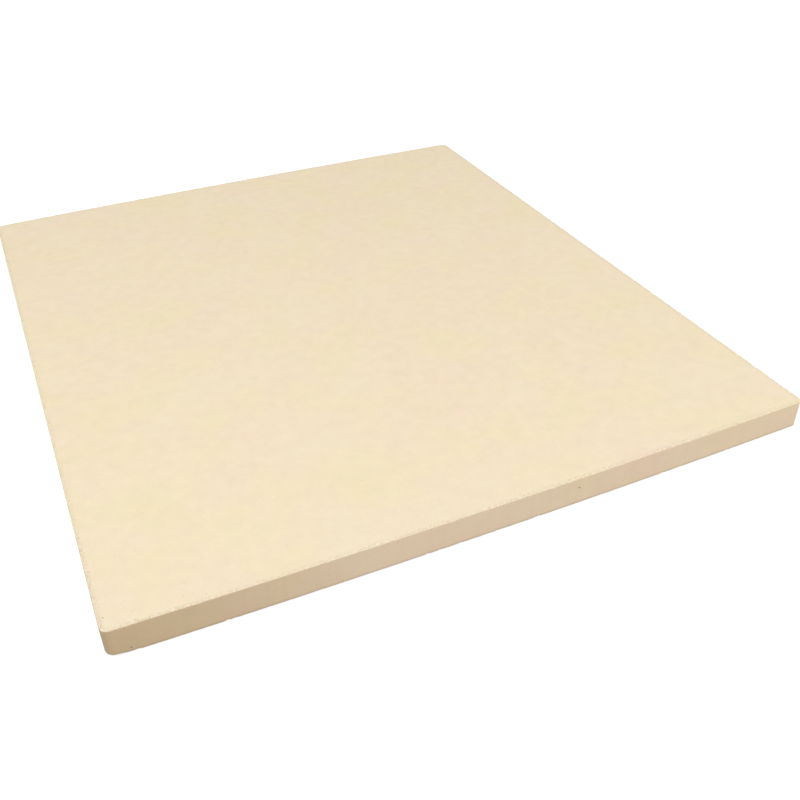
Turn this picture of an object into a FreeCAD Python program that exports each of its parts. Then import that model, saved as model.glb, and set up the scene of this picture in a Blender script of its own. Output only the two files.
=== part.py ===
import FreeCAD, Part
import math
import os
import Sketcher

# A rectangular baking stone: one flat slab of pressed and fired cordierite. Its front
# and back sides are shallow arcs, its four corners are round, and a small eased edge
# runs round the baking face and round the underside.
# Millimetres. The origin is the centre of the underside, +X runs along the width,
# +Y towards the back and +Z up, so the slab rests on the plane Z = 0.

# Each driving size: its name, its value and what it measures
DRIVING_SIZES = (
    ("slab_width", 355.6, "left side to right side, along X"),
    ("slab_depth", 406.4, "front side to back side at their middles, along Y"),
    ("slab_thickness", 15.24, "underside to baking face, along Z"),
    ("end_bow", 2.3, "how far the front and back sides stand out at their middles"),
    ("corner_radius", 3.5, "the four corners, seen from above"),
    ("top_edge_radius", 0.3, "the eased edge round the baking face"),
    ("bottom_edge_radius", 0.5, "the eased edge round the underside"),
)
# The arc over the whole width that rises by end_bow in its middle
BOW_RADIUS = "(sizes.slab_width^2 / 4 + sizes.end_bow^2) / (2 * sizes.end_bow)"
QUARTER_TURN = math.pi / 2
TOUCH = 1e-4    # faces and sizes this close count as the same
CUBIC_MM_PER_LITRE = 1e6


def make_sheet(doc):
    """Put the driving sizes in a sheet: name, value and meaning on each row."""
    sheet = doc.addObject("Spreadsheet::Sheet", "sizes")
    for row, (name, value, meaning) in enumerate(DRIVING_SIZES, start=1):
        sheet.set(f"A{row}", name)
        sheet.set(f"B{row}", str(value))
        sheet.set(f"C{row}", meaning)
        sheet.setAlias(f"B{row}", name)
    doc.recompute()
    return sheet


def draw_outline(body, sheet):
    """Sketch the slab from above: two straight sides, two bowed ones and round corners."""
    sketch = body.newObject("Sketcher::SketchObject", "slab_outline")
    ground = next(plane for plane in body.Origin.OriginFeatures if plane.Role == "XY_Plane")
    sketch.AttachmentSupport = [(ground, "")]
    sketch.MapMode = "FlatFace"

    # A bowed side meets a corner where the line through their two centres cuts them
    side_x = sheet.slab_width / 2
    side_y = sheet.slab_depth / 2
    round_r = sheet.corner_radius
    bow_r = (side_x**2 + sheet.end_bow**2) / (2 * sheet.end_bow)
    bow_y = bow_r - side_y
    round_x = side_x - round_r
    half_sweep = math.asin(round_x / (bow_r - round_r))
    round_y = (bow_r - round_r) * math.cos(half_sweep) - bow_y

    def straight(x, start_y, end_y):
        line = Part.LineSegment(FreeCAD.Vector(x, start_y), FreeCAD.Vector(x, end_y))
        return sketch.addGeometry(line, False)

    def arc(x, y, radius, first_angle, last_angle):
        circle = Part.Circle(FreeCAD.Vector(x, y), FreeCAD.Vector(0, 0, 1), radius)
        return sketch.addGeometry(Part.ArcOfCircle(circle, first_angle, last_angle), False)

    def middle(y):
        return sketch.addGeometry(Part.Point(FreeCAD.Vector(0, y)), True)

    # Anticlockwise from the front side, with angles from +X
    east, north, west, south = (turns * QUARTER_TURN for turns in range(4))
    front = arc(0, bow_y, bow_r, south - half_sweep, south + half_sweep)
    front_right = arc(round_x, -round_y, round_r, south + half_sweep, south + QUARTER_TURN)
    right = straight(side_x, -round_y, round_y)
    back_right = arc(round_x, round_y, round_r, east, north - half_sweep)
    back = arc(0, -bow_y, bow_r, north - half_sweep, north + half_sweep)
    back_left = arc(-round_x, round_y, round_r, north + half_sweep, west)
    left = straight(-side_x, round_y, -round_y)
    front_left = arc(-round_x, -round_y, round_r, west, south - half_sweep)
    front_middle = middle(-side_y)
    back_middle = middle(side_y)

    # How the sketch numbers a piece's own points, its origin and its Y axis
    start, end, centre = 1, 2, 3
    origin = (-1, start)
    y_axis = -2

    def rule(kind, *where):
        return sketch.addConstraint(Sketcher.Constraint(kind, *where))

    def size(name, formula, kind, *where):
        sketch.renameConstraint(rule(kind, *where), name)
        sketch.setExpression(f"Constraints.{name}", formula)

    ring = [front, front_right, right, back_right, back, back_left, left, front_left]
    for piece, following in zip(ring, ring[1:] + ring[:1]):
        rule("Tangent", piece, end, following, start)
    for side in (left, right):
        rule("Vertical", side)
    for corner in (back_right, back_left, front_left):
        rule("Equal", front_right, corner)
    rule("Equal", front, back)
    for bowed, point in ((front, front_middle), (back, back_middle)):
        rule("PointOnObject", bowed, centre, y_axis)
        rule("PointOnObject", point, start, y_axis)
        rule("PointOnObject", point, start, bowed)
    rule("Symmetric", front_left, centre, back_right, centre, *origin)

    size("width", "sizes.slab_width", "DistanceX", left, end, right, start, 2 * side_x)
    size("depth", "sizes.slab_depth", "DistanceY", front_middle, start, back_middle, start, 2 * side_y)
    size("bow_radius", BOW_RADIUS, "Radius", front, bow_r)
    size("corner_radius", "sizes.corner_radius", "Radius", front_right, round_r)
    return sketch


def flat_face_at(feature, height):
    """Name the feature's level face at this height."""
    for number, face in enumerate(feature.Shape.Faces, start=1):
        box = face.BoundBox
        if abs(box.ZMin - height) < TOUCH and abs(box.ZMax - height) < TOUCH:
            return f"Face{number}"
    raise RuntimeError(f"{feature.Name} has no level face at {height}")


def ease_rim(body, base, name, height):
    """Round the whole rim of the level face at this height."""
    rim = body.newObject("PartDesign::Fillet", name)
    rim.Base = (base, [flat_face_at(base, height)])
    rim.setExpression("Radius", f"sizes.{name}_radius")
    body.Document.recompute()
    return rim


def make_slab(doc, sheet):
    """Pad the outline to the slab's thickness, then ease its upper and lower rims."""
    body = doc.addObject("PartDesign::Body", "baking_slab")
    body.Label = "baking_slab"
    slab = body.newObject("PartDesign::Pad", "pressed_slab")
    slab.Profile = draw_outline(body, sheet)
    slab.setExpression("Length", "sizes.slab_thickness")
    doc.recompute()
    eased_top = ease_rim(body, slab, "top_edge", sheet.slab_thickness)
    ease_rim(body, eased_top, "bottom_edge", 0.0)
    return body


def check(doc, sheet, body):
    """Stop unless every object is sound and the slab fills its driving sizes."""
    for thing in doc.Objects:
        if {"Invalid", "Error"} & set(thing.State):
            raise RuntimeError(f"{thing.Name} failed: {thing.State}")
    shape = body.Shape
    if shape.isNull() or not shape.isValid() or len(shape.Solids) != 1:
        raise RuntimeError(f"{body.Label} is not one sound solid")
    box = shape.optimalBoundingBox(False)
    reach = (box.XMin, box.XMax, box.YMin, box.YMax, box.ZMin, box.ZMax)
    side_x, side_y = sheet.slab_width / 2, sheet.slab_depth / 2
    wanted = (-side_x, side_x, -side_y, side_y, 0.0, sheet.slab_thickness)
    if max(abs(a - b) for a, b in zip(reach, wanted)) > TOUCH:
        raise RuntimeError(f"{body.Label} reaches {reach}, not {wanted}")


doc = FreeCAD.newDocument("baking_stone")
sheet = make_sheet(doc)
slab = make_slab(doc, sheet)
doc.recompute()
check(doc, sheet, slab)
os.makedirs("parts", exist_ok=True)
slab.Shape.exportStep(f"parts/{slab.Label}.step")
print(f"{slab.Label}: {slab.Shape.Volume / CUBIC_MM_PER_LITRE:.4f} litres")
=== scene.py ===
import functools
import math

import bpy
import numpy as np
from mathutils import Matrix, Vector


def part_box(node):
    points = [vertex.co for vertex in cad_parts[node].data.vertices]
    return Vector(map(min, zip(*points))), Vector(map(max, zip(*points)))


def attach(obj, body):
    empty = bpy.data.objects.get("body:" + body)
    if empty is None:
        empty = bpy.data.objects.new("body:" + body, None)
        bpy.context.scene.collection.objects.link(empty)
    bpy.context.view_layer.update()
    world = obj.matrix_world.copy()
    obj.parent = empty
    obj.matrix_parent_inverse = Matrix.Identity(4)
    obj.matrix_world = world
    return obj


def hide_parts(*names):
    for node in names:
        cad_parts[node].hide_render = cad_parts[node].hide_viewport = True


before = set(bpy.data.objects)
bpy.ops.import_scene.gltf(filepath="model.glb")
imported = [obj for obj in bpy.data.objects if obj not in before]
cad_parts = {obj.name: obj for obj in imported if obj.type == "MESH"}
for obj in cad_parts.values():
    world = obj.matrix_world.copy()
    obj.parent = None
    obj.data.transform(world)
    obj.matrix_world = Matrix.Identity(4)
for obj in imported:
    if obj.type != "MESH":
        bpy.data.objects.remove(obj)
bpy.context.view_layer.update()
mm = 0.001  # metres in a millimetre
quarterTurn = math.pi / 2
mixShare, mixFrom, mixTo, mixed = 0, 6, 7, 2  # a colour Mix node's inputs, then its output, by number


def linear(hexColour):
    # sRGB hex to linear light, by the standard's two-part curve, with an alpha of 1
    parts = np.array([int(hexColour[i:i + 2], 16) for i in (1, 3, 5)]) / 255
    curve = np.where(parts <= 0.04045, parts / 12.92, ((parts + 0.055) / 1.055) ** 2.4)
    return (*curve.tolist(), 1.0)


def addNode(tree, kind, inputs=None, **settings):
    # A node with its settings; an input is a value, or another node's output to link
    node = tree.nodes.new(kind)
    for name, value in settings.items():
        setattr(node, name, value)
    for name, value in (inputs or {}).items():
        if isinstance(value, bpy.types.NodeSocket):
            tree.links.new(value, node.inputs[name])
        else:
            node.inputs[name].default_value = value
    return node


def newMaterial(name):
    # A material with no nodes yet
    material = bpy.data.materials.new(name)
    material.use_nodes = True
    material.node_tree.nodes.clear()
    return material


# The slab, in millimetres. Its width, depth and thickness come from its part in model.glb
slab = dict(
    node="baking_slab",
    slot="cordierite",
    endBow=2.3,  # how far the front and back sides stand out at their middles
    cornerRadius=3.5,
    topEdge=0.3,  # radius of the eased edge round the baking face
    bottomEdge=0.5,  # and round the underside
    arcPoints=400,  # on each arc of the outline, before it is taken at even steps
    columns=3072,  # steps round the outline, about half a millimetre each
    rimReach=3.2,  # how far the crumbly rim reaches over the flat faces, less than the corner radius
    rimShares=(1, 0.82, 0.65, 0.5, 0.36, 0.23, 0.11, 0),  # where its rings lie, as shares of that
    innerShares=(0.985, 0.965, 0.93, 0.86, 0.72, 0.46, 0.2),  # rings further in, each with half the columns
    arcSteps=5,  # rings over each eased edge
    guard=0.25,  # a ring this far to each side of it keeps the faces flat
    edgeWander=0.35,  # how far the eased edges' radius wanders from its middle size, as a share
    edgeWaves=dict(longest=90, shortest=6, count=40),  # the waves that it wanders by
    topChips=dict(count=380, across=(0.9, 2.8), reach=(0.05, 0.8)),
    bottomChips=dict(count=90, across=(1.2, 4.5), reach=(0.05, 1.0)),
    chipBias=3,  # the power that leaves most chips shallow
    knock=dict(reach=2.0, across=14.0),  # the lower edge is worn rounder at the front left corner
    mostWorn=2.6,  # no eased edge grows past this
    crumbSink=0.18,  # the most that a point of the crumbly rim lies under the baking face
    crumbWaves=dict(longest=60, shortest=10, count=40),  # the waves that gather the crumbs in clusters
    seed=14,
    mapSide=515.0,  # the texture's square, in millimetres of the baking face
    mapGap=3.0,  # between what is laid out there
    mapWall=1.3,  # the wall's scale there
    mapLengths=4,  # and the lengths that it is cut into
)


def slabOutline(halfWidth, halfDepth):
    # Six arcs run together: a shallow one for each bowed end and one for each corner. The straight
    # sides are what joins them. The line is then taken again at even steps along its length, from
    # the front left corner anticlockwise.
    bow, corner = slab["endBow"], slab["cornerRadius"]
    bowRadius = (halfWidth**2 + bow**2) / (2 * bow)
    bowY = bowRadius - halfDepth
    cornerX = halfWidth - corner
    halfSweep = math.asin(cornerX / (bowRadius - corner))
    cornerY = (bowRadius - corner) * math.cos(halfSweep) - bowY
    arcs = np.array((  # centre, radius, first and last angle
        (0, bowY, bowRadius, -quarterTurn - halfSweep, -quarterTurn + halfSweep),
        (cornerX, -cornerY, corner, -quarterTurn + halfSweep, 0),
        (cornerX, cornerY, corner, 0, quarterTurn - halfSweep),
        (0, -bowY, bowRadius, quarterTurn - halfSweep, quarterTurn + halfSweep),
        (-cornerX, cornerY, corner, quarterTurn + halfSweep, 2 * quarterTurn),
        (-cornerX, -cornerY, corner, 2 * quarterTurn, 3 * quarterTurn - halfSweep),
    ))
    centreX, centreY, radius, first, last = arcs.T
    turn = np.linspace(first, last, slab["arcPoints"])  # a column for each arc
    x = (centreX + radius * np.cos(turn)).T.ravel()
    y = (centreY + radius * np.sin(turn)).T.ravel()
    facing = turn.T.ravel()
    gone = np.concatenate([[0], np.cumsum(np.hypot(np.diff(x), np.diff(y)))])
    perimeter = gone[-1]
    along = np.arange(slab["columns"]) / slab["columns"] * perimeter
    x, y, facing = (np.interp(along, gone, values) for values in (x, y, facing))
    return np.stack([x, y], 1), np.stack([np.cos(facing), np.sin(facing)], 1), along, perimeter


def wander(along, perimeter, dice, longest, shortest, count):
    # A sum of waves round the outline, of random length and start, brought to the range -1 to 1
    turns = dice.integers(perimeter / longest, perimeter / shortest, count)[:, None]
    starts = dice.uniform(0, 2 * math.pi, count)[:, None]
    waves = np.sin(2 * math.pi * turns * along / perimeter + starts).sum(0)
    return waves / np.abs(waves).max()


def edgeChips(along, perimeter, dice, count, across, reach):
    # Each chip is a parabola along the edge: full reach at its middle and none at its ends
    least, most = reach
    middle = dice.uniform(0, perimeter, count)[:, None]
    width = dice.uniform(*across, count)[:, None]
    depth = least + (most - least) * dice.uniform(0, 1, count)[:, None] ** slab["chipBias"]
    away = np.abs((along - middle + perimeter / 2) % perimeter - perimeter / 2)
    return (depth * np.clip(1 - (2 * away / width) ** 2, 0, 1)).max(0)


def wornEdges(along, perimeter):
    # Each eased edge's radius at every column: its own size, a slow wander, chips, and one lower corner
    # that is knocked round by a bell curve along the edge
    dice = np.random.default_rng(slab["seed"])
    ease = 1 + slab["edgeWander"] * wander(along, perimeter, dice, **slab["edgeWaves"])
    top = slab["topEdge"] * ease + edgeChips(along, perimeter, dice, **slab["topChips"])
    bottom = slab["bottomEdge"] * ease + edgeChips(along, perimeter, dice, **slab["bottomChips"])
    cornerMiddle = -slab["cornerRadius"] * quarterTurn / 2  # the outline starts just after this corner
    away = (along - cornerMiddle + perimeter / 2) % perimeter - perimeter / 2
    bottom += slab["knock"]["reach"] * np.exp(-((2 * away / slab["knock"]["across"]) ** 2))
    return np.minimum(top, slab["mostWorn"]), np.minimum(bottom, slab["mostWorn"])


def slabSection(thickness, topRadius, bottomRadius):
    # From the baking face outwards: rings over the rim, a quarter circle over the upper edge, a straight
    # wall, a quarter circle under the lower edge and two rings on the underside. Gives each ring's
    # distance inside the outline and its height, and how far it is wall and rim.
    turn = np.linspace(0, quarterTurn, slab["arcSteps"])[:, None]
    shares = np.array(slab["rimShares"])[:, None]
    reach, guard = slab["rimReach"], slab["guard"]
    upper = thickness - topRadius
    eased = topRadius + guard
    parts = (  # distance inside, height, share of wall
        (eased + shares * (reach - eased), thickness, 0),
        (topRadius * (1 - np.sin(turn)), upper + topRadius * np.cos(turn), turn / quarterTurn),
        (0, upper - guard, 1),
        (0, (upper + bottomRadius) / 2, 1),
        (0, bottomRadius + guard, 1),
        (bottomRadius * (1 - np.cos(turn)), bottomRadius * (1 - np.sin(turn)), 1 - turn / quarterTurn),
        (bottomRadius + guard, 0, 0),
        (reach, 0, 0),
    )
    none = np.zeros_like(topRadius)
    rows = [np.broadcast_arrays(*(np.atleast_2d(value) + none for value in part)) for part in parts]
    inset, height, wall = (np.concatenate(values) for values in zip(*rows))
    rim = np.clip(1 - inset / reach, 0, 1) * (wall < 1)  # 1 at the outline, 0 on the wall and further in
    return inset, height, wall, rim


def crumble(along, perimeter, height, wall, rim):
    # Each point of the upper rim sinks by a random share, evened out with its neighbour's, and more so
    # in clusters that follow a slow wander
    dice = np.random.default_rng(slab["seed"])
    share = dice.uniform(0, 1, rim.shape)
    share = (share + np.roll(share, 1, axis=1)) / 2
    cluster = (1 + wander(along, perimeter, dice, **slab["crumbWaves"])) / 2
    upper = height > height.mean()
    return height - slab["crumbSink"] * share * cluster * rim * (1 - wall) * upper


def strip(first, second, count):
    # Quads between two rings of the same count, with corners in the order that faces outwards
    here = np.arange(count)
    after = (here + 1) % count
    return np.stack([first + here, second + here, second + after, first + after], 1)


def halvingStrip(outer, inner, count):
    # Three triangles for each two columns, between a ring of count columns and the ring of half as many
    # inside it, seen from above
    half = np.arange(count // 2)
    start, middle, end = outer + 2 * half, outer + 2 * half + 1, outer + (2 * half + 2) % count
    near, far = inner + half, inner + (half + 1) % (count // 2)
    corners = ((near, start, middle), (near, middle, far), (far, middle, end))
    return np.concatenate([np.stack(three, 1) for three in corners])


def fillFace(rim, start, used):
    # Rings that shrink towards the middle with half the columns each, then a fan to the middle point.
    # Gives the new points and the triangles, seen from above.
    points, triangles = [], []
    outer, count = start, len(rim)
    for level, share in enumerate(slab["innerShares"], start=1):
        ring = rim[::2**level] * (share, share, 1)
        triangles.append(halvingStrip(outer, used, count))
        points.append(ring)
        outer, count = used, len(ring)
        used += count
    here = np.arange(count)
    triangles.append(np.stack([np.full(count, used), outer + here, outer + (here + 1) % count], 1))
    points.append(rim[:1] * (0, 0, 1))
    return np.concatenate(points), np.concatenate(triangles)


def mapSlab(mesh, points, quads, triangles, section, perimeter):
    # The texture's layout, in millimetres: the baking face seen from above, the underside, smaller,
    # beside it, and the wall in a few lengths over both
    inset, height, wall, _ = section
    gap, columns, scale, lengths = slab["mapGap"], slab["columns"], slab["mapWall"], slab["mapLengths"]
    low, high = points.min(0), points.max(0)
    width, depth, thickness = high - low
    beside = (slab["mapSide"] - width - 3 * gap) / width  # the underside's scale
    corners = points[np.concatenate([quads.ravel(), triangles.ravel()])]
    x, y = corners[:, 0] - low[0], corners[:, 1] - low[1]
    above = corners[:, 2] > thickness / 2
    across = np.where(above, gap + x, 2 * gap + width + beside * (width - x))
    upward = np.where(above, gap + y, gap + beside * y)

    # A wall quad's corners at their distances down the wall and along it. Corners 1 and 2 are on the
    # next ring down, corners 2 and 3 at the next column.
    ring, column, corner = np.indices((len(wall) - 1, columns, 4))
    onWall = wall[:-1, 0] + wall[1:, 0] > 1
    run = np.concatenate([[0], np.cumsum(np.hypot(np.diff(inset.mean(1)), np.diff(height.mean(1))))])
    first, last = np.flatnonzero(onWall)[[0, -1]]
    length = lengths * column // columns
    down = run[ring + (corner % 3 > 0)] - run[first]
    tall = run[last + 1] - run[first]
    wallAcross = gap + scale * perimeter * ((column + (corner > 1)) / columns - length / lengths)
    wallUpward = 2 * gap + depth + length * (scale * tall + gap) + scale * (tall - down)
    spots = np.flatnonzero(onWall[ring].ravel())
    across[spots] = wallAcross.ravel()[spots]
    upward[spots] = wallUpward.ravel()[spots]
    layer = mesh.uv_layers.new(name="OFBake")
    layer.data.foreach_set("uv", (np.stack([across, upward], 1) / slab["mapSide"]).ravel())


def makeSlab():
    # Rings round the outline, each moved in by its inset and up to its height, with quads between them,
    # then a fill over the baking face and another under the slab
    low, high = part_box(slab["node"])
    halfWidth, halfDepth, thickness = (np.array(high - low) / mm / (2, 2, 1)).tolist()
    outline, facing, along, perimeter = slabOutline(halfWidth, halfDepth)
    section = slabSection(thickness, *wornEdges(along, perimeter))
    inset, height, wall, rim = section
    flat = outline - inset[:, :, None] * facing
    crumbled = crumble(along, perimeter, height, wall, rim)
    rings = np.concatenate([flat, crumbled[:, :, None]], 2)

    columns = slab["columns"]
    last = (len(rings) - 1) * columns
    quads = np.concatenate([strip(i, i + columns, columns) for i in range(0, last, columns)])
    used = len(rings) * columns
    topPoints, topTriangles = fillFace(rings[0], 0, used)
    lowPoints, lowTriangles = fillFace(rings[-1], last, used + len(topPoints))
    points = np.concatenate([rings.reshape(-1, 3), topPoints, lowPoints])
    triangles = np.concatenate([topTriangles, lowTriangles[:, ::-1]])

    mesh = bpy.data.meshes.new(slab["node"])
    mesh.from_pydata((points * mm).tolist(), [], quads.tolist() + triangles.tolist())
    mesh.update()
    for name, values in (("wall", wall), ("rim", rim)):
        layer = mesh.attributes.new(name, "FLOAT", "POINT")
        layer.data.foreach_set("value", np.pad(values.ravel(), (0, len(points) - used)))
    mapSlab(mesh, points, quads, triangles, section, perimeter)
    mesh.shade_smooth()
    piece = bpy.data.objects.new("baking_stone", mesh)
    bpy.context.scene.collection.objects.link(piece)
    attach(piece, "root")
    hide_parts(slab["node"])
    print(f"slab: {len(points)} points, {2 * len(quads) + len(triangles)} triangles")
    return piece


# Cordierite, pressed dry and fired without a glaze: a pale cream body, quite matte, whose faces came off
# the die smooth and close. Faint clouds of pinker and yellower cream run through it, the grog gives a
# fine grain, there are a few open pores and stray iron specks, and the edges are crumbly.
# Sizes in millimetres.
cordierite = dict(
    cream="#f4e4c6",
    blush="#f5e0c6",
    straw="#f3e4be",
    wallShadeTint="#f7f0ed",  # painted shade with a warm cast of bounce light: the wall a little darker and pinker than the face
    cornerShadeTint="#e4ddce",  # and painted shade, darker and browner still, towards the front left corner
    shadeCorner=(-177.8, -201.0, 7.6),
    shadeReach=115.0,
    cloudSize=38,
    cloudSpan=(0.42, 0.7),  # a cloud starts and is full at these values of its noise
    noiseSpan=(0.3, 0.7),  # the mottle, grain and draw lines have most of their values between these
    mottleSize=7,
    mottleDepth=0.02,
    grainSize=1.0,  # real grog is near 0.4 mm; drawn coarser so that it shows
    grainDepth=0.018,
    grainHeight=0.006,
    drawSize=(1.4, 40.0),  # the die's draw lines up the wall: their spacing and length
    drawDepth=0.008,
    poreSpacing=4.2,
    poreRadius=0.34,
    poreHeight=0.12,
    pore="#c9b08a",
    speckSpacing=9.0,
    speckRadius=0.42,
    speckShare=0.3,  # this share of the specks shows
    speck="#8f7657",
    smallest=0.4,  # the smallest pore or speck, as a share of its radius
    core=0.5,  # a pore or speck is full inside this share of its radius
    spotDepth=0.4,  # how far pores and specks cover the body's colour
    marks=(  # the larger specks that show: place, radius and strength beside the others
        ((-175.3, -193.1, 15.2), 0.5, 1.2),
        ((-163.8, -199.5, 15.2), 0.4, 1.0),
        ((-158.3, -200.8, 15.2), 0.5, 1.0),
        ((-167.8, -201.2, 2.7), 0.6, 1.7),
        ((41.2, -203.1, 9.7), 0.6, 2.3),
    ),
    rimBand=(0.05, 0.7),  # the crumbly band along an edge starts and is full at these shares of the rim
    rimShade=0.028,  # and is this much darker, a painted shade, twice that in the shaded corner
    crumbSize=1.25,
    crumbSpan=(0.38, 0.62),  # a crumb is darkest and lightest at these values of its noise
    crumbDepth=0.09,
    crumbHeight=0.09,
    clusterSpan=(0.4, 0.62),  # between these values of the mottle
    clusters=(0.2, 1.3),  # the crumbs go from this weak to this strong
    footHeight=(0.4, 2.0),  # painted shade darkens the foot of the wall, fading out between these heights
    footShade=0.18,
    roughness=(0.86, 0.94),
    ior=1.5,
)


def perMetre(size):
    # A pattern's scale, from its size in millimetres
    return 1 / (size * mm)


def cloudyCream(add, place):
    # One noise gives two patterns, and each lays its own colour over the cream
    clouds = add("ShaderNodeTexNoise", {
        "Vector": place, "Scale": perMetre(cordierite["cloudSize"]), "Detail": 4.0, "Roughness": 0.6})
    cloud = add("ShaderNodeSeparateColor", {"Color": clouds.outputs["Color"]}).outputs
    bare, full = cordierite["cloudSpan"]
    body = linear(cordierite["cream"])
    for channel, colour in (("Red", "blush"), ("Green", "straw")):
        amount = add("ShaderNodeMapRange", {"Value": cloud[channel], "From Min": bare, "From Max": full})
        body = add("ShaderNodeMix", {
            mixShare: amount.outputs["Result"], mixFrom: body, mixTo: linear(cordierite[colour])},
            data_type="RGBA").outputs[mixed]
    return body


def cornerShading(add, place):
    # The painted shade's mask: 1 at the corner, falling evenly to 0 at its reach
    away = add("ShaderNodeVectorMath", {
        0: place, 1: Vector(cordierite["shadeCorner"]) * mm}, operation="DISTANCE")
    return add("ShaderNodeMapRange", {
        "Value": away.outputs["Value"], "From Max": cordierite["shadeReach"] * mm,
        "To Min": 1.0, "To Max": 0.0}).outputs["Result"]


def shadedWallColour(add, body, wall, cornerShade):
    # The wall's painted shade with its warm cast, then the corner's painted shade, each multiplied in
    cornerShadeOnWall = add("ShaderNodeMath", {0: cornerShade, 1: wall}, operation="MULTIPLY").outputs[0]
    for amount, colour in ((wall, "wallShadeTint"), (cornerShadeOnWall, "cornerShadeTint")):
        body = add("ShaderNodeMix", {
            mixShare: amount, mixFrom: body, mixTo: linear(cordierite[colour])},
            data_type="RGBA", blend_type="MULTIPLY").outputs[mixed]
    return body


def drawnWall(add, place, body, wall):
    # A noise stretched up the wall darkens and lightens it by the draw lines' depth
    spacing, length = cordierite["drawSize"]
    depth = cordierite["drawDepth"]
    low, high = cordierite["noiseSpan"]
    drawn = add("ShaderNodeMapping", {"Vector": place, "Scale": (1, 1, spacing / length)})
    draw = add("ShaderNodeTexNoise", {
        "Vector": drawn.outputs["Vector"], "Scale": perMetre(spacing), "Detail": 2.0})
    lines = add("ShaderNodeMapRange", {
        "Value": draw.outputs["Fac"], "From Min": low, "From Max": high,
        "To Min": -depth, "To Max": depth}, clamp=False)
    lined = add("ShaderNodeMath", {
        0: lines.outputs["Result"], 1: wall, 2: 1.0}, operation="MULTIPLY_ADD")
    return add("ShaderNodeVectorMath", {
        0: body, "Scale": lined.outputs[0]}, operation="SCALE").outputs["Vector"]


def scattered(add, place, spacing, radius, share=1.0):
    # Small balls round scattered points, cut by the surface: 1 in a ball's core, 0 outside it. Their
    # sizes differ, and only this share of them show.
    largest = radius / spacing
    cells = add("ShaderNodeTexVoronoi", {"Vector": place, "Scale": perMetre(spacing)})
    pick = add("ShaderNodeSeparateColor", {"Color": cells.outputs["Color"]}).outputs
    size = add("ShaderNodeMapRange", {
        "Value": pick["Red"], "To Min": cordierite["smallest"] * largest, "To Max": largest})
    inside = add("ShaderNodeMath", {
        0: cells.outputs["Distance"], 1: size.outputs["Result"]}, operation="DIVIDE")
    ball = add("ShaderNodeMapRange", {
        "Value": inside.outputs[0], "From Min": cordierite["core"], "From Max": 1.0,
        "To Min": 1.0, "To Max": 0.0})
    shown = add("ShaderNodeMath", {0: pick["Green"], 1: share}, operation="LESS_THAN")
    return add("ShaderNodeMath", {
        0: ball.outputs["Result"], 1: shown.outputs[0]}, operation="MULTIPLY").outputs[0]


def markedSpecks(add, place, specks):
    # Each larger speck is a ball of its own, joined to the others by the stronger of the two
    for spot, radius, strength in cordierite["marks"]:
        gap = add("ShaderNodeVectorMath", {0: place, 1: Vector(spot) * mm}, operation="DISTANCE")
        mark = add("ShaderNodeMapRange", {
            "Value": gap.outputs["Value"],
            "From Min": cordierite["core"] * radius * mm, "From Max": radius * mm,
            "To Min": strength, "To Max": 0.0})
        specks = add("ShaderNodeMath", {
            0: specks, 1: mark.outputs["Result"]}, operation="MAXIMUM").outputs[0]
    return specks


def rimCrumbs(add, place, mottle):
    # A noise from -1 to 1, times a strength that follows the mottle
    darkest, lightest = cordierite["crumbSpan"]
    low, high = cordierite["clusterSpan"]
    sparse, dense = cordierite["clusters"]
    crumbs = add("ShaderNodeTexNoise", {
        "Vector": place, "Scale": perMetre(cordierite["crumbSize"]), "Detail": 2.0})
    crumb = add("ShaderNodeMapRange", {
        "Value": crumbs.outputs["Fac"], "From Min": darkest, "From Max": lightest, "To Min": -1.0})
    cluster = add("ShaderNodeMapRange", {
        "Value": mottle, "From Min": low, "From Max": high, "To Min": sparse, "To Max": dense})
    return add("ShaderNodeMath", {
        0: crumb.outputs["Result"], 1: cluster.outputs["Result"]}, operation="MULTIPLY").outputs[0]


def shadedRim(add, body, crumb, band, cornerShade):
    # The band gets the crumbs' depth and its own painted shade, which doubles with the corner's painted
    # shade
    shade = cordierite["rimShade"]
    dark = add("ShaderNodeMath", {0: cornerShade, 1: -shade, 2: -shade}, operation="MULTIPLY_ADD")
    crumbly = add("ShaderNodeMath", {
        0: crumb, 1: cordierite["crumbDepth"], 2: dark.outputs[0]}, operation="MULTIPLY_ADD")
    shaded = add("ShaderNodeMath", {
        0: crumbly.outputs[0], 1: band, 2: 1.0}, operation="MULTIPLY_ADD")
    return add("ShaderNodeVectorMath", {
        0: body, "Scale": shaded.outputs[0]}, operation="SCALE").outputs["Vector"]


def shadedFoot(add, place, body, wall, rim):
    # Painted shade at the foot of the wall, by the height above the underside, fading out with the rim
    # below
    low, high = (height * mm for height in cordierite["footHeight"])
    above = add("ShaderNodeSeparateXYZ", {"Vector": place}).outputs["Z"]
    foot = add("ShaderNodeMapRange", {
        "Value": above, "From Min": low, "From Max": high,
        "To Min": -cordierite["footShade"], "To Max": 0.0})
    edge = add("ShaderNodeMath", {0: wall, 1: rim}, operation="MAXIMUM")
    footShading = add("ShaderNodeMath", {
        0: foot.outputs["Result"], 1: edge.outputs[0], 2: 1.0}, operation="MULTIPLY_ADD")
    return add("ShaderNodeVectorMath", {
        0: body, "Scale": footShading.outputs[0]}, operation="SCALE").outputs["Vector"]


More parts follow.
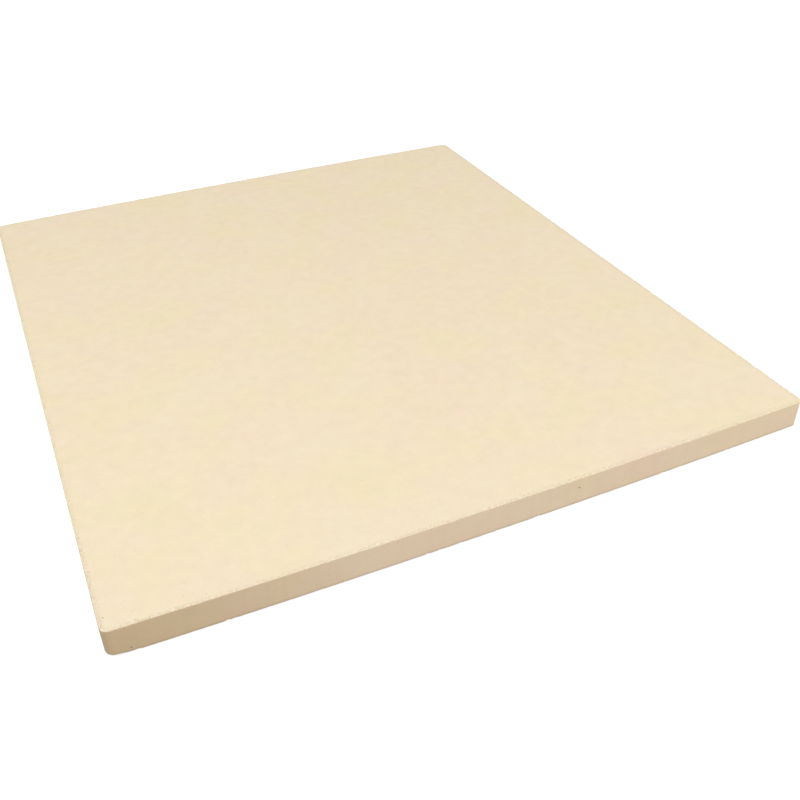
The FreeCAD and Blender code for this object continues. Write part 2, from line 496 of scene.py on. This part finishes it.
def pressedCordierite():
    # The cream body, tinted, shaded and covered by one pattern after another, then relief and shine
    material = newMaterial("pressedCordierite")
    add = functools.partial(addNode, material.node_tree)
    place = add("ShaderNodeTexCoord").outputs["Object"]
    wall = add("ShaderNodeAttribute", attribute_name="wall").outputs["Fac"]
    rim = add("ShaderNodeAttribute", attribute_name="rim").outputs["Fac"]
    # The painted shade's mask, strongest at the front left corner
    cornerShade = cornerShading(add, place)
    # The wall's painted shade with its warm cast, and the painted shade towards the front left corner
    body = shadedWallColour(add, cloudyCream(add, place), wall, cornerShade)

    # Mottling and grain, as shares of the colour
    mottle = add("ShaderNodeTexNoise", {
        "Vector": place, "Scale": perMetre(cordierite["mottleSize"]), "Detail": 3.0}).outputs["Fac"]
    grain = add("ShaderNodeTexNoise", {
        "Vector": place, "Scale": perMetre(cordierite["grainSize"]), "Detail": 2.0,
        "Roughness": 0.6}).outputs["Fac"]
    low, high = cordierite["noiseSpan"]
    for pattern, depth in ((mottle, cordierite["mottleDepth"]), (grain, cordierite["grainDepth"])):
        shade = add("ShaderNodeMapRange", {
            "Value": pattern, "From Min": low, "From Max": high,
            "To Min": 1 - depth, "To Max": 1 + depth}, clamp=False)
        body = add("ShaderNodeVectorMath", {
            0: body, "Scale": shade.outputs["Result"]}, operation="SCALE").outputs["Vector"]
    body = drawnWall(add, place, body, wall)

    # Pores and specks
    pores = scattered(add, place, cordierite["poreSpacing"], cordierite["poreRadius"])
    specks = scattered(
        add, place, cordierite["speckSpacing"], cordierite["speckRadius"], cordierite["speckShare"])
    specks = markedSpecks(add, place, specks)
    for amount, colour in ((pores, "pore"), (specks, "speck")):
        soft = add("ShaderNodeMath", {0: amount, 1: cordierite["spotDepth"]}, operation="MULTIPLY")
        body = add("ShaderNodeMix", {
            mixShare: soft.outputs[0], mixFrom: body, mixTo: linear(cordierite[colour])},
            data_type="RGBA").outputs[mixed]

    # The crumbly band along the eased edges with its painted shade, and the painted shade at the foot of
    # the wall
    bare, full = cordierite["rimBand"]
    band = add("ShaderNodeMapRange", {"Value": rim, "From Min": bare, "From Max": full},
               interpolation_type="SMOOTHSTEP").outputs["Result"]
    crumb = rimCrumbs(add, place, mottle)
    body = shadedRim(add, body, crumb, band, cornerShade)
    body = shadedFoot(add, place, body, wall, rim)

    # Heights in millimetres, added up
    banded = add("ShaderNodeMath", {0: crumb, 1: band}, operation="MULTIPLY").outputs[0]
    height = 0.0
    for pattern, size in ((grain, cordierite["grainHeight"]), (pores, -cordierite["poreHeight"]),
                          (banded, cordierite["crumbHeight"])):
        height = add("ShaderNodeMath", {
            0: pattern, 1: size, 2: height}, operation="MULTIPLY_ADD").outputs[0]
    bump = add("ShaderNodeBump", {"Height": height, "Distance": mm, "Strength": 1.0})

    smooth, rough = cordierite["roughness"]
    roughness = add("ShaderNodeMapRange", {"Value": mottle, "To Min": smooth, "To Max": rough})
    shader = add("ShaderNodeBsdfPrincipled", {
        "Base Color": body, "Roughness": roughness.outputs["Result"], "IOR": cordierite["ior"],
        "Normal": bump.outputs["Normal"]})
    add("ShaderNodeOutputMaterial", {"Surface": shader.outputs["BSDF"]})
    print(f"cordierite: {len(material.node_tree.nodes)} nodes")
    return material


# The stage: a pale floor under a white surround, with soft lamps. Metres and watts
stage = dict(
    floorSize=12.0,
    floorDrop=0.0003,  # how far it lies under the slab
    floor="#aaaaaa",  # what the floor gives back to the object
    seenFloor="#bcbcbc",  # the floor that the eye sees: this colour, plus its own glow, is white
    seenGlow=0.68,
    surround=0.64,  # how much the white surround lights the object
    lamps=(
        dict(name="key", place=(-0.6, -0.35, 1.1), aim=(0, 0, 0), size=(0.8, 0.8), power=5.0),
        dict(name="fill", place=(0.75, -1.1, 0.5), aim=(0.05, -0.2, 0), size=(0.7, 0.5), power=5.2),
    ),
)


def eyeSees(tree):
    # 1 where the eye looks at the surface itself or at its mirror image, 0 where it lights the object
    path = addNode(tree, "ShaderNodeLightPath").outputs
    mirrored = addNode(tree, "ShaderNodeMath", {
        0: path["Is Glossy Ray"], 1: path["Is Transmission Ray"]}, operation="MAXIMUM")
    seen = addNode(tree, "ShaderNodeMath", {
        0: path["Is Camera Ray"], 1: mirrored.outputs[0]}, operation="MAXIMUM")
    return seen.outputs[0]


def paleFloor():
    # A matte grey to the object, and a glowing white to the eye, which keeps the shadow
    material = newMaterial("paleFloor")
    add = functools.partial(addNode, material.node_tree)
    lit = add("ShaderNodeBsdfDiffuse", {"Color": linear(stage["floor"])})
    seen = add("ShaderNodeBsdfDiffuse", {"Color": linear(stage["seenFloor"])})
    glow = add("ShaderNodeEmission", {"Strength": stage["seenGlow"]})
    white = add("ShaderNodeAddShader", {0: seen.outputs[0], 1: glow.outputs[0]})
    both = add("ShaderNodeMixShader", {
        0: eyeSees(material.node_tree), 1: lit.outputs[0], 2: white.outputs[0]})
    add("ShaderNodeOutputMaterial", {"Surface": both.outputs[0]})
    return material


def makeFloor():
    # One square of the floor's size
    reach, height = stage["floorSize"] / 2, -stage["floorDrop"]
    ends = ((-reach, -reach), (reach, -reach), (reach, reach), (-reach, reach))
    mesh = bpy.data.meshes.new("floor")
    mesh.from_pydata([(x, y, height) for x, y in ends], [], [(0, 1, 2, 3)])
    mesh.materials.append(paleFloor())
    floor = bpy.data.objects.new("floor", mesh)
    bpy.context.scene.collection.objects.link(floor)


def makeSurround():
    # White all round, at full strength to the eye and weaker as light
    world = bpy.data.worlds.new("surround")
    bpy.context.scene.world = world
    world.use_nodes = True
    world.node_tree.nodes.clear()
    add = functools.partial(addNode, world.node_tree)
    strength = add("ShaderNodeMapRange", {
        "Value": eyeSees(world.node_tree), "To Min": stage["surround"], "To Max": 1.0})
    sky = add("ShaderNodeBackground", {"Color": (1, 1, 1, 1), "Strength": strength.outputs["Result"]})
    add("ShaderNodeOutputWorld", {"Surface": sky.outputs[0]})


def makeLamps():
    # Soft rectangles, each turned to face its aim
    for lamp in stage["lamps"]:
        light = bpy.data.lights.new(lamp["name"], "AREA")
        light.shape = "RECTANGLE"
        light.size, light.size_y = lamp["size"]
        light.energy = lamp["power"]
        toAim = Vector(lamp["aim"]) - Vector(lamp["place"])
        holder = bpy.data.objects.new(lamp["name"], light)
        holder.location = lamp["place"]
        holder.rotation_mode = "QUATERNION"
        holder.rotation_quaternion = toAim.to_track_quat("-Z", "Y")
        holder.visible_camera = False
        bpy.context.scene.collection.objects.link(holder)


# The photograph's camera, fitted to the slab's outline
photo = dict(
    place=(-171.08, -467.25, 300.57),  # mm from the middle of the underside
    heading=23.645,  # degrees from +Y towards +X
    dip=35.158,  # degrees below level
    roll=-1.083,
    lens=42.076,  # mm, on the sensor below
    sensor=36.0,
    shift=(0.0159, -0.0188),  # the photograph is cropped off its lens axis
)


def makeCamera():
    # A camera starts out looking straight down. It is rolled, then tilted up to its dip, then turned to
    # its heading and moved to its place.
    lens = bpy.data.cameras.new("photograph")
    lens.sensor_width = photo["sensor"]
    lens.lens = photo["lens"]
    lens.shift_x, lens.shift_y = photo["shift"]
    camera = bpy.data.objects.new("photograph", lens)
    turn = Matrix.Rotation(math.radians(-photo["heading"]), 4, "Z")
    tilt = Matrix.Rotation(quarterTurn - math.radians(photo["dip"]), 4, "X")
    roll = Matrix.Rotation(math.radians(photo["roll"]), 4, "Z")
    camera.matrix_world = Matrix.Translation(Vector(photo["place"]) * mm) @ turn @ tilt @ roll
    bpy.context.scene.collection.objects.link(camera)
    bpy.context.scene.camera = camera
    print(f"camera: {photo['lens']} mm lens, {photo['dip']} degrees down")


bpy.context.scene.view_settings.view_transform = "Standard"
stone = makeSlab()
stone.data.materials.append(pressedCordierite())
makeFloor()
makeSurround()
makeLamps()
print(f"stage: floor, surround and {len(stage['lamps'])} lamps")
makeCamera()
